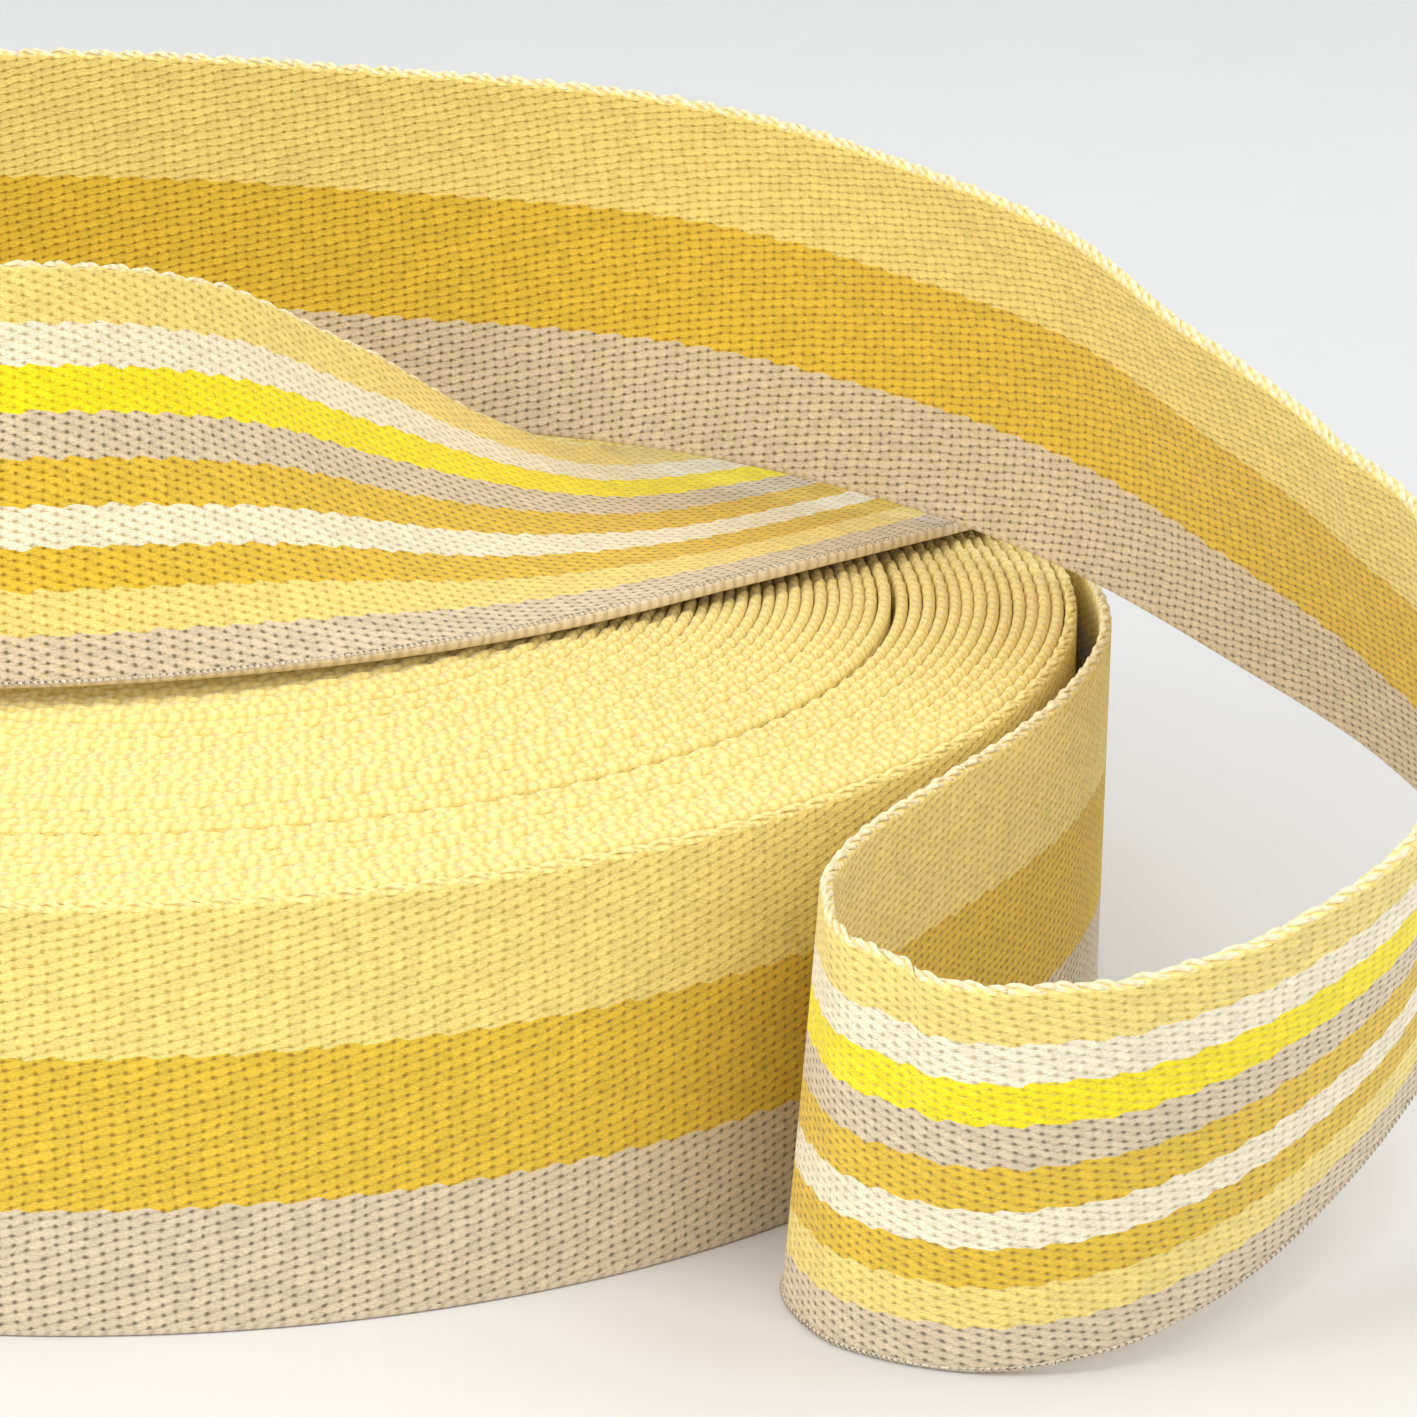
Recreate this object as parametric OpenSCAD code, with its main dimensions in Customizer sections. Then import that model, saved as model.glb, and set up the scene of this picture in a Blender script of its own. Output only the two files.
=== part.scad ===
// Striped double-faced belting, wound into a flat coil with its loose end looped over the top.
// The strip stands on its beige edge, the coil's axis is vertical and the origin is the middle
// of the coil on the floor. X runs to the right, Y to the back, Z up. All lengths in millimetres.

/* [Belting] */
// width of the belting, from one selvedge to the other
belt_width = 40; // [25:0.5:50]
// thickness of the cloth, both faces together
belt_thick = 1.25; // [0.9:0.05:1.3]
// depth of the warp yarns on each face
face_depth = 0.4; // [0.2:0.05:0.45]
// height of the weft bead along each selvedge
selvedge = 0.6; // [0.4:0.1:1.5]
// how far the catch thread sits above the beige edge
catch_lift = 0.15; // [0.1:0.05:0.3]

/* [Three-stripe face, from the top edge down] */
// pale yellow stripe
face_pale_width = 14.2; // [8:0.1:18]
// mustard stripe
face_mustard_width = 14; // [8:0.1:18]

/* [Nine-stripe face, from the top edge down] */
// pale yellow stripe along the top edge
back_pale_width = 5.7; // [2:0.1:8]
// upper cream stripe
back_cream_width = 4; // [2:0.1:6]
// lemon stripe
back_lemon_width = 4.5; // [2:0.1:6]
// beige stripe in the middle
back_beige_width = 4.3; // [2:0.1:6]
// upper mustard stripe
back_mustard_width = 4.5; // [2:0.1:6]
// lower cream stripe
back_low_cream_width = 4; // [2:0.1:6]
// lower mustard stripe
back_low_mustard_width = 4; // [2:0.1:6]
// lower pale yellow stripe
back_low_pale_width = 4.2; // [2:0.1:5]

/* [Coil] */
// radius of the outermost wound turn, to the middle of the cloth
coil_radius = 93.2; // [60:0.1:95]
// radius of the open eye in the middle of the coil
eye_radius = 16; // [8:1:40]
// distance from one turn to the next
turn_pitch = 1.3; // [1.3:0.05:2]
// direction in which the outer end leaves the coil, anticlockwise from the right
peel_angle = 32; // [25:1:40]
// how far the last half turn stands off the one under it
last_slack = 0.35; // [0.3:0.05:0.6]

/* [Joints] */
// gap along the strip where the loose end leaves the coil
peel_gap = 0.6; // [0.5:0.1:1]
// gap along the strip at the sharp bend in front
bend_gap = 0.8; // [0.7:0.1:1.2]

/* [Hidden] */

// cloth colours
PALE = [0.95, 0.80, 0.38];
MUSTARD = [0.86, 0.64, 0.10];
BEIGE = [0.78, 0.66, 0.49];
CREAM = [0.97, 0.93, 0.82];
LEMON = [0.99, 0.88, 0.05];
THREAD = [0.85, 0.76, 0.60];

// half of the cloth, and half of the weft layer between its two faces
half_thick = belt_thick / 2;
half_core = half_thick - face_depth;

// facets along one turn, and the largest bend and length between two rings of the loose strip
$fn = 120;
ring_bend = 10;
ring_gap = 16;

// how many straight pieces a wide stripe is divided into across its width where it cups
wide_parts = 2;

// half turns in the coil
half_turns = floor((coil_radius - eye_radius) / turn_pitch * 2);

// where the strip leaves the coil, and the way it points there
peel_radius = coil_radius + last_slack;
peel_step = 15;
peel_point = peel_radius * [cos(peel_angle), sin(peel_angle)];
before_peel = peel_radius * [cos(peel_angle + peel_step), sin(peel_angle + peel_step)];

// Stations of the loose strip after the coil: x, y and z of its beige edge, the lean of the
// strip towards its three-stripe face in degrees, and how much it cups across its width.
BEND = 8;
LOOSE = [
    [90.5, 26, 0, 0, 0], [94.5, 5, 0, 0, 0], [94, -13, 0, 1, 0], [90, -30, 0, 1, 0],
    [83.5, -44, 0, 2, 0], [75, -58, 0, 3, 0], [67, -71.5, 0, 4, 0], [62.5, -83, 0, 5, 0],
    [65, -92, 0, 1, 0], [69.5, -96.5, 0, -6, 0], [76.5, -99.5, 0, -11, 0],
    [85, -100, 1, -14, 0], [94, -97.5, 3, -15, 0], [104, -91, 7, -16, 0],
    [115, -79, 13.5, -16, 0], [124, -64.5, 21, -3, 0], [127, -50, 28, 14, 1],
    [120.5, -34, 33, 22, 4], [107.5, -17, 37.5, 20, 12], [92, 2, 41.5, 13, 16],
    [74, 19, 44, 11, 14], [50, 32, 46, 6, 15], [20, 43, 46, 4, 10], [-12, 50.5, 46, 3, 5],
    [-43, 50.5, 45, 2, 2], [-68, 41, 44, 0, 0], [-84, 25, 43, 0, 0], [-88.5, 5, 42, 0, 0],
    [-80, -15, 42, 0, 0], [-60.5, -30, 42, 0, 0], [-34, -38, 42, 5, -2],
    [-7, -39, 42, 16, -3], [17.5, -31, 41.5, 36, -10], [39, -18.5, 41.3, 57, -22],
    [59, -4, 42, 79, -14], [77, 11.5, 42, 88, -5], [93, 25, 42, 89, -1]
];
ROUTE = concat([[peel_point[0], peel_point[1], 0, 0, 0]], LOOSE);
BEFORE = [before_peel[0], before_peel[1], 0, 0, 0];
LAST = len(ROUTE) - 1;

// widths of the stripes on each face from the beige edge upwards, inside the selvedge beads
inside = belt_width - selvedge;
face_tops = [
    belt_width - face_pale_width - face_mustard_width, belt_width - face_pale_width, inside
];
back_7 = belt_width - back_pale_width;
back_6 = back_7 - back_cream_width;
back_5 = back_6 - back_lemon_width;
back_4 = back_5 - back_beige_width;
back_3 = back_4 - back_mustard_width;
back_2 = back_3 - back_low_cream_width;
back_1 = back_2 - back_low_mustard_width;
back_0 = back_1 - back_low_pale_width;
back_tops = [back_0, back_1, back_2, back_3, back_4, back_5, back_6, back_7, inside];

function bottom(tops, i) = i == 0 ? selvedge : tops[i - 1];
function cuts(low, high, parts) = [for (i = [0 : parts]) low + (high - low) * i / parts];
function backwards(list) = [for (i = [len(list) - 1 : -1 : 0]) list[i]];

// Section outlines, as points [out, up]: out is towards the three-stripe face, up is across the
// width from the beige edge. Every outline runs anticlockwise.
function strip_outline(inner, outer, ups) = concat(
    [[inner, ups[0]]], [for (u = ups) [outer, u]], [for (u = backwards(ups)) if (u > ups[0]) [inner, u]]
);
function face_outline(i, parts) =
    strip_outline(half_core, half_thick, cuts(bottom(face_tops, i), face_tops[i], parts));
function back_outline(i) =
    strip_outline(-half_thick, -half_core, [bottom(back_tops, i), back_tops[i]]);
catch_outline = strip_outline(-half_thick, -half_core, [catch_lift, selvedge]);
face_ups = [for (i = [0 : 2]) each [for (u = cuts(bottom(face_tops, i), face_tops[i], wide_parts))
    if (i == 0 || u > bottom(face_tops, i)) u]];
back_ups = concat([selvedge], back_tops);
weft_outline = concat(
    [[-half_thick, 0], [half_thick, 0], [half_thick, selvedge]],
    [for (u = face_ups) [half_core, u]],
    [[half_thick, inside], [half_thick, belt_width], [-half_thick, belt_width]],
    [[-half_thick, inside]],
    [for (u = backwards(back_ups)) [-half_core, u]],
    [[-half_core, catch_lift], [-half_thick, catch_lift]]
);
// The coil is flat across its width, so its weft needs corners only at the selvedge beads.
coil_weft_outline = [
    [-half_thick, 0], [half_thick, 0], [half_thick, selvedge], [half_core, selvedge],
    [half_core, inside], [half_thick, inside], [half_thick, belt_width],
    [-half_thick, belt_width], [-half_thick, inside], [-half_core, inside],
    [-half_core, catch_lift], [-half_thick, catch_lift]
];

// The wound part is an even spiral of half turns about two centres. The half turns on one side
// share a centre, and the outermost one stands off a little where the strip leaves the coil.
module half_turns_of(side, outline) {
    shift = side == 0 ? turn_pitch / 4 : -turn_pitch / 4;
    translate([shift, 0, 0])
        rotate([0, 0, side * 180])
            rotate_extrude(angle = 180)
                for (k = [2 - side : 2 : half_turns - 1])
                    translate([coil_radius - turn_pitch / 4 - k * turn_pitch / 2, 0])
                        polygon(outline);
}
module last_half_turn(outline) {
    translate([turn_pitch / 4 + last_slack / 2, 0, 0])
        rotate_extrude(angle = 180)
            translate([coil_radius - turn_pitch / 4 + last_slack / 2, 0])
                polygon(outline);
}
module wound(outline) {
    rotate([0, 0, peel_angle]) {
        half_turns_of(0, outline);
        half_turns_of(1, outline);
        last_half_turn(outline);
    }
}

// The route between stations, as one smooth curve through them.
function spline(a, b, c, d, t) =
    (2 * b + (c - a) * t + (2 * a - 5 * b + 4 * c - d) * t * t + (3 * b - a - 3 * c + d) * t * t * t) / 2;
function station(i) = i < 0 ? BEFORE : i > LAST ? 2 * ROUTE[LAST] - ROUTE[LAST - 1] : ROUTE[i];
function along(s) = let (i = min(floor(s), LAST - 1))
    spline(station(i - 1), station(i), station(i + 1), station(i + 2), s - i);
// A leaning edge is lifted so that its lower corner stays on the floor.
function place(q) = [q[0], q[1], max(q[2], half_thick * abs(sin(q[3])))];
function unit(v) = v / norm(v);

// A point of the strip at s along the route, out from its middle and up from its beige edge.
small = 0.02;
flat_cup = 0.0001;
up_axis = [0, 0, 1];
function strip_point(s, out, up) = let (
    q = along(s),
    way = ahead(s),
    rise = unit(up_axis - (up_axis * way) * way),
    side = cross(rise, way),
    turn = (abs(q[4]) < flat_cup ? flat_cup : q[4]) * 2 / belt_width,
    low = q[3] - turn * belt_width / 2,
    high = low + turn * up,
    reach = 180 / PI / turn
) place(q) + reach * ((sin(high) - sin(low)) * rise - (cos(high) - cos(low)) * side)
    + out * (cos(high) * side - sin(high) * rise);

// Corners a and b of neighbouring rings: the shared edge always climbs the same way, so that
// two solids that touch have the same facets.
function climbs(a, b) = a[1] < b[1] || (a[1] == b[1] && a[0] < b[0]);

// The end of a strip as triangles: corners that stand clear of the rest are cut off one by one.
function area2(a, b, c) = (b[0] - a[0]) * (c[1] - a[1]) - (b[1] - a[1]) * (c[0] - a[0]);
function holds(a, b, c, p) = area2(a, b, p) >= 0 && area2(b, c, p) >= 0 && area2(c, a, p) >= 0;
function corner(list, i) = let (n = len(list)) [list[(i + n - 1) % n], list[i], list[(i + 1) % n]];
function is_free(outline, list, t) = area2(outline[t[0]], outline[t[1]], outline[t[2]]) > 0
    && len([for (k = list) if (k != t[0] && k != t[1] && k != t[2]
        && holds(outline[t[0]], outline[t[1]], outline[t[2]], outline[k])) k]) == 0;
function end_faces(outline, list) = len(list) == 3 ? [list] : let (
    free = [for (i = [0 : len(list) - 1]) if (is_free(outline, list, corner(list, i))) i][0]
) concat([corner(list, free)], end_faces(outline, [for (i = [0 : len(list) - 1])
    if (i != free) list[i]]));

// A length of the loose strip with the given outline.
module swept(outline, rings) {
    n = len(outline);
    m = len(rings);
    points = [for (s = rings) for (p = outline) strip_point(s, p[0], p[1])];
    sides = [for (r = [0 : m - 2]) for (j = [0 : n - 1]) let (
        k = (j + 1) % n, a = r * n + j, b = r * n + k, c = a + n, d = b + n
    ) each (climbs(outline[j], outline[k]) ? [[a, b, d], [a, d, c]] : [[a, b, c], [b, d, c]])];
    ends = end_faces(outline, [for (j = [0 : n - 1]) j]);
    start = [for (t = ends) [t[2], t[1], t[0]]];
    finish = [for (t = ends) [for (j = t) (m - 1) * n + j]];
    polyhedron(points, concat(start, sides, finish));
}
function span(s) = norm(place(along(s + small)) - place(along(s - small))) / (2 * small);
function ahead(s) = unit(place(along(s + small)) - place(along(s - small)));
function steps(i) = max(
    ceil(acos(min(1, ahead(i) * ahead(i + 1))) / ring_bend), ceil(span(i + 0.5) / ring_gap)
);
function rings(from, to) = concat(
    [from], [for (i = [0 : LAST - 1]) for (j = [0 : steps(i) - 1]) let (s = i + j / steps(i))
        if (s > from + small && s < to - small) s], [to]
);
leg_rings = rings(peel_gap / span(small), BEND - bend_gap / 2 / span(BEND));
run_rings = rings(BEND + bend_gap / 2 / span(BEND), LAST);

module leg_strip(outline) { swept(outline, leg_rings); }
module run_strip(outline) { swept(outline, run_rings); }

// Wound coil
module coil_weft() { color(BEIGE) wound(coil_weft_outline); }
module coil_catch_thread() { color(THREAD) wound(catch_outline); }
module coil_face_beige() { color(BEIGE) wound(face_outline(0, 1)); }
module coil_face_mustard() { color(MUSTARD) wound(face_outline(1, 1)); }
module coil_face_pale() { color(PALE) wound(face_outline(2, 1)); }
module coil_back_edge_beige() { color(BEIGE) wound(back_outline(0)); }
module coil_back_low_pale() { color(PALE) wound(back_outline(1)); }
module coil_back_low_mustard() { color(MUSTARD) wound(back_outline(2)); }
module coil_back_low_cream() { color(CREAM) wound(back_outline(3)); }
module coil_back_mustard() { color(MUSTARD) wound(back_outline(4)); }
module coil_back_beige() { color(BEIGE) wound(back_outline(5)); }
module coil_back_lemon() { color(LEMON) wound(back_outline(6)); }
module coil_back_cream() { color(CREAM) wound(back_outline(7)); }
module coil_back_pale() { color(PALE) wound(back_outline(8)); }

// Leg that leaves the coil on the right and follows it to the front
module leg_weft() { color(BEIGE) leg_strip(weft_outline); }
module leg_catch_thread() { color(THREAD) leg_strip(catch_outline); }
module leg_face_beige() { color(BEIGE) leg_strip(face_outline(0, wide_parts)); }
module leg_face_mustard() { color(MUSTARD) leg_strip(face_outline(1, wide_parts)); }
module leg_face_pale() { color(PALE) leg_strip(face_outline(2, wide_parts)); }
module leg_back_edge_beige() { color(BEIGE) leg_strip(back_outline(0)); }
module leg_back_low_pale() { color(PALE) leg_strip(back_outline(1)); }
module leg_back_low_mustard() { color(MUSTARD) leg_strip(back_outline(2)); }
module leg_back_low_cream() { color(CREAM) leg_strip(back_outline(3)); }
module leg_back_mustard() { color(MUSTARD) leg_strip(back_outline(4)); }
module leg_back_beige() { color(BEIGE) leg_strip(back_outline(5)); }
module leg_back_lemon() { color(LEMON) leg_strip(back_outline(6)); }
module leg_back_cream() { color(CREAM) leg_strip(back_outline(7)); }
module leg_back_pale() { color(PALE) leg_strip(back_outline(8)); }

// Loose run from the front bend, round the right-hand loop and over the coil to the free end
module run_weft() { color(BEIGE) run_strip(weft_outline); }
module run_catch_thread() { color(THREAD) run_strip(catch_outline); }
module run_face_beige() { color(BEIGE) run_strip(face_outline(0, wide_parts)); }
module run_face_mustard() { color(MUSTARD) run_strip(face_outline(1, wide_parts)); }
module run_face_pale() { color(PALE) run_strip(face_outline(2, wide_parts)); }
module run_back_edge_beige() { color(BEIGE) run_strip(back_outline(0)); }
module run_back_low_pale() { color(PALE) run_strip(back_outline(1)); }
module run_back_low_mustard() { color(MUSTARD) run_strip(back_outline(2)); }
module run_back_low_cream() { color(CREAM) run_strip(back_outline(3)); }
module run_back_mustard() { color(MUSTARD) run_strip(back_outline(4)); }
module run_back_beige() { color(BEIGE) run_strip(back_outline(5)); }
module run_back_lemon() { color(LEMON) run_strip(back_outline(6)); }
module run_back_cream() { color(CREAM) run_strip(back_outline(7)); }
module run_back_pale() { color(PALE) run_strip(back_outline(8)); }

coil_weft();
coil_catch_thread();
coil_face_beige();
coil_face_mustard();
coil_face_pale();
coil_back_edge_beige();
coil_back_low_pale();
coil_back_low_mustard();
coil_back_low_cream();
coil_back_mustard();
coil_back_beige();
coil_back_lemon();
coil_back_cream();
coil_back_pale();
leg_weft();
leg_catch_thread();
leg_face_beige();
leg_face_mustard();
leg_face_pale();
leg_back_edge_beige();
leg_back_low_pale();
leg_back_low_mustard();
leg_back_low_cream();
leg_back_mustard();
leg_back_beige();
leg_back_lemon();
leg_back_cream();
leg_back_pale();
run_weft();
run_catch_thread();
run_face_beige();
run_face_mustard();
run_face_pale();
run_back_edge_beige();
run_back_low_pale();
run_back_low_mustard();
run_back_low_cream();
run_back_mustard();
run_back_beige();
run_back_lemon();
run_back_cream();
run_back_pale();
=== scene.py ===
# %% [markdown]
# # A coil of striped belting
# The object is one long strip of double-faced woven belting. It stands on its beige edge, wound into
# a flat coil of about sixty turns, and its last length leaves the coil on the right, turns sharply in
# front, loops round on the right and comes back over the top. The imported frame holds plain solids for
# the yarns. Here the cloth gets its real surface: a strip swept along the same route, a weave, looped
# selvedges and a knitted catch thread.

# %% Load the frame
import math

import bpy
import numpy as np
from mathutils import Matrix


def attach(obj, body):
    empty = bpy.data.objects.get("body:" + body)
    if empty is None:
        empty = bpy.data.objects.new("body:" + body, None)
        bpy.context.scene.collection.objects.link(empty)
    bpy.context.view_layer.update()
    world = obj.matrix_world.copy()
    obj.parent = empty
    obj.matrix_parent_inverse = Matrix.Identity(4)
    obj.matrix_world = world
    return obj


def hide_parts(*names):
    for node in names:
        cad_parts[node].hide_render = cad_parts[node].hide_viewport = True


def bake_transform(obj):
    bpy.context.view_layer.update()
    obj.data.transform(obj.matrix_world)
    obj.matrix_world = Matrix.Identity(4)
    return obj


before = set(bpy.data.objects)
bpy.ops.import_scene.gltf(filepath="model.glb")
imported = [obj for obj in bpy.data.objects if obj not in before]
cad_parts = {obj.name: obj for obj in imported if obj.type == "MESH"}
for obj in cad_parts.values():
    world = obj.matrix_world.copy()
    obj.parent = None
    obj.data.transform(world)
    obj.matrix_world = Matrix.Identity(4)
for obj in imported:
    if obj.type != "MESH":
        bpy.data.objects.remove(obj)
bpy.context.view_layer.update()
MM = 0.001

# %% [markdown]
# ## Camera and light
# The camera looks slightly down on the coil from the front. Its distance sets how much larger the near
# side looks than the far side, and the lens only sets how much of the frame the coil fills. So the
# distance comes first and the lens after it.

# %% Camera
AIM = (0.0554, 0.0223, 0.020)
CAMERA_ELEVATION = math.radians(18)
CAMERA_DISTANCE = 0.560
LENS = 133.5


def make_camera():
    data = bpy.data.cameras.new("camera")
    data.lens = LENS
    data.sensor_width = 36
    data.clip_start = 0.01
    data.clip_end = 20
    camera = bpy.data.objects.new("camera", data)
    back = CAMERA_DISTANCE * math.cos(CAMERA_ELEVATION)
    up = CAMERA_DISTANCE * math.sin(CAMERA_ELEVATION)
    camera.location = (AIM[0], AIM[1] - back, AIM[2] + up)
    camera.rotation_euler = (math.pi / 2 - CAMERA_ELEVATION, 0, 0)
    bpy.context.collection.objects.link(camera)
    bpy.context.scene.camera = camera
    return camera


camera = make_camera()
print("camera at", tuple(round(x, 4) for x in camera.location))

# %% [markdown]
# The light is a bright, even studio: a pale room all round and four large soft lamps. The strongest stands
# on the left and reaches into the loops and the band behind. One in front lights the wall of the coil, one
# above on the right opens the shade inside the front loop, and a weak one overhead lifts the top. The
# Standard view transform keeps the yarn colours as saturated as they are given.

# %% Light
WORLD_COLOUR = (0.96, 0.98, 1.0, 1)
WORLD_STRENGTH = 0.86


def make_world():
    world = bpy.data.worlds.new("room")
    world.use_nodes = True
    room = world.node_tree.nodes["Background"]
    room.inputs["Color"].default_value = WORLD_COLOUR
    room.inputs["Strength"].default_value = WORLD_STRENGTH
    bpy.context.scene.world = world


def soft_lamp(name, place, aim, size, watts):
    """A round lamp at place, turned to face aim. Both are in metres."""
    data = bpy.data.lights.new(name, "AREA")
    data.shape = "DISK"
    data.size = size
    data.energy = watts
    lamp = bpy.data.objects.new(name, data)
    lamp.location = place
    way = [a - p for a, p in zip(aim, place)]
    flat = math.hypot(way[0], way[1])
    lamp.rotation_euler = (math.atan2(flat, -way[2]), 0, math.atan2(way[1], way[0]) - math.pi / 2)
    bpy.context.collection.objects.link(lamp)


bpy.context.scene.view_settings.view_transform = "Standard"
make_world()
soft_lamp("top_lamp", place=(-0.35, -0.35, 1.1), aim=(0, 0, 0.02), size=0.7, watts=1.0)
soft_lamp("front_lamp", place=(0.70, -1.05, 0.60), aim=(0.05, -0.02, 0.04), size=0.9, watts=3.2)
soft_lamp("left_lamp", place=(-0.85, -0.60, 0.60), aim=(0.08, 0.02, 0.06), size=0.8, watts=5.9)
soft_lamp("right_lamp", place=(0.65, -0.15, 1.0), aim=(0.08, 0, 0.03), size=0.7, watts=3.0)
print("room and four lamps")

# %% [markdown]
# ## Shader helper
# Shader maths reads best as arithmetic. `Value` wraps a socket, and every operator on it adds the Math
# node that does the same. `Finish` holds one material and adds any other node.


# %% Shader helper
class Value:
    """A socket that takes part in arithmetic."""

    def __init__(self, finish, socket):
        self.finish = finish
        self.socket = socket

    def maths(self, operation, *others):
        made = self.finish.node("ShaderNodeMath", {"operation": operation}, dict(enumerate((self, *others))))
        return made(0)

    def swapped(self, operation, other):
        """The same, with this value second, for forms such as 1 - mask."""
        made = self.finish.node("ShaderNodeMath", {"operation": operation}, {0: other, 1: self})
        return made(0)

    def __add__(self, other):
        return self.maths("ADD", other)

    def __sub__(self, other):
        return self.maths("SUBTRACT", other)

    def __mul__(self, other):
        return self.maths("MULTIPLY", other)

    def __truediv__(self, other):
        return self.maths("DIVIDE", other)

    def __rsub__(self, other):
        return self.swapped("SUBTRACT", other)

    __radd__ = __add__
    __rmul__ = __mul__

    def nearest(self):
        return self.maths("ROUND")

    def bell(self, width):
        """1 where this is zero, falling to nothing a few widths away."""
        scaled = self * (1 / width)
        return (scaled * scaled * -1).maths("EXPONENT")

    def clamped(self, low, high):
        """Kept between low and high."""
        return self.maths("MAXIMUM", low).maths("MINIMUM", high)


class Finish:
    """One material and the nodes added to it."""

    def __init__(self, name):
        self.material = bpy.data.materials.new(name)
        self.material.use_nodes = True
        self.tree = self.material.node_tree
        self.surface = self.tree.nodes["Principled BSDF"]

    def node(self, kind, settings=None, sockets=None):
        """Adds a node, sets its settings and then its sockets, and returns its outputs."""
        made = self.tree.nodes.new(kind)
        for key, value in (settings or {}).items():
            if key == "stops":
                self.set_stops(made.color_ramp, value)
            else:
                setattr(made, key, value)
        for key, value in (sockets or {}).items():
            self.plug(value, made.inputs[key])
        return lambda output=0: Value(self, made.outputs[output])

    def set_stops(self, ramp, stops):
        while len(ramp.elements) < len(stops):
            ramp.elements.new(0.5)
        for element, (place, colour) in zip(ramp.elements, stops):
            element.position = place
            element.color = (*colour, 1)

    def plug(self, value, socket):
        if isinstance(value, Value):
            self.tree.links.new(value.socket, socket)
        else:
            socket.default_value = value

    def attribute(self, name):
        return self.node("ShaderNodeAttribute", {"attribute_name": name})("Fac")

    def vector(self, x, y, z):
        return self.node("ShaderNodeCombineXYZ", {}, {0: x, 1: y, 2: z})()

    def noise(self, vector, scale, detail=2.0):
        return self.node(
            "ShaderNodeTexNoise", {}, {"Vector": vector, "Scale": scale, "Detail": detail, "Roughness": 0.55}
        )("Fac")

    def mix(self, share, first, second, blend="MIX"):
        """Colour mix. 6 and 7 are the colour sockets of the Mix node, and 2 its colour output."""
        settings = {"data_type": "RGBA", "blend_type": blend, "clamp_factor": True}
        return self.node("ShaderNodeMix", settings, {0: share, 6: first, 7: second})(2)

    def stripes(self, place, stops):
        """Colours that change sharply at each stop as place goes from 0 to 1."""
        found = self.node("ShaderNodeValToRGB", {"stops": stops}, {"Fac": place})(0)
        found.socket.node.color_ramp.interpolation = "CONSTANT"
        return found

    def uniform(self, **values):
        for name, value in values.items():
            self.surface.inputs[name.replace("_", " ")].default_value = value


print("shader helper ready")

# %% [markdown]
# ## The strip's measures
# The sizes repeat the part's: 40 mm wide, with the stripes counted up from the beige edge. The cloth is a
# shade under the part's 1.25 mm thick, so that neighbouring turns stay apart. The weave is a fine
# warp-faced twill. Its rows lie 0.9 mm apart across the strip and its columns 1.275 mm apart along it. On
# the three-stripe face each column sits about a third of a row further down, so the lines climb, and on the
# other nearly half a row, so the floats stagger like bricks.

# %% Measures
WIDTH = 40.0
HALF_THICK = 0.6
EDGE = 0.6
FACE_TOPS = [11.8, 25.8]
BACK_TOPS = [4.8, 9.0, 13.0, 17.0, 21.5, 25.8, 30.3, 34.3]
ROW = 0.90
COLUMN = 1.275
FACE_CLIMB = 0.35
BACK_CLIMB = 0.45
# Three or so columns bring the twill back to the same row, and the edge rises and falls with it.
SCALLOP = COLUMN / FACE_CLIMB
SCALLOP_DEPTH = 0.16

COIL_RADIUS = 93.2
TURN_PITCH = 1.3
LAST_SLACK = 0.35
HALF_TURNS = 118
PEEL_ANGLE = 32.0
PEEL_RADIUS = COIL_RADIUS + LAST_SLACK
PEEL_STEP = 15.0
print("belting", WIDTH, "mm wide with", len(FACE_TOPS) + 1, "and", len(BACK_TOPS) + 1, "stripes")

# %% [markdown]
# ## The route of the loose strip
# These stations repeat the part's: x, y and z of the beige edge, how far the strip leans towards its
# three-stripe face in degrees, and how much it cups across its width. A Catmull-Rom curve runs through
# them, so the cloth follows the same path as the solids and the joints stay where the frame has them.

# %% Route
# The station at the sharp bend in front, counted from where the strip leaves the coil.
BEND = 8
LOOSE = [
    [90.5, 26, 0, 0, 0], [94.5, 5, 0, 0, 0], [94, -13, 0, 1, 0], [90, -30, 0, 1, 0],
    [83.5, -44, 0, 2, 0], [75, -58, 0, 3, 0], [67, -71.5, 0, 4, 0], [62.5, -83, 0, 5, 0],
    [65, -92, 0, 1, 0], [69.5, -96.5, 0, -6, 0], [76.5, -99.5, 0, -11, 0],
    [85, -100, 1, -14, 0], [94, -97.5, 3, -15, 0], [104, -91, 7, -16, 0],
    [115, -79, 13.5, -16, 0], [124, -64.5, 21, -3, 0], [127, -50, 28, 14, 1],
    [120.5, -34, 33, 22, 4], [107.5, -17, 37.5, 20, 12], [92, 2, 41.5, 13, 16],
    [74, 19, 44, 11, 14], [50, 32, 46, 6, 15], [20, 43, 46, 4, 10], [-12, 50.5, 46, 3, 5],
    [-43, 50.5, 45, 2, 2], [-68, 41, 44, 0, 0], [-84, 25, 43, 0, 0], [-88.5, 5, 42, 0, 0],
    [-80, -15, 42, 0, 0], [-60.5, -30, 42, 0, 0], [-34, -38, 42, 5, -2],
    [-7, -39, 42, 16, -3], [17.5, -31, 41.5, 36, -10], [39, -18.5, 41.3, 57, -22],
    [59, -4, 42, 79, -14], [77, 11.5, 42, 88, -5], [93, 25, 42, 89, -1],
]


def on_coil(radius, degrees):
    turned = math.radians(degrees)
    return [radius * math.cos(turned), radius * math.sin(turned), 0, 0, 0]


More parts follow.
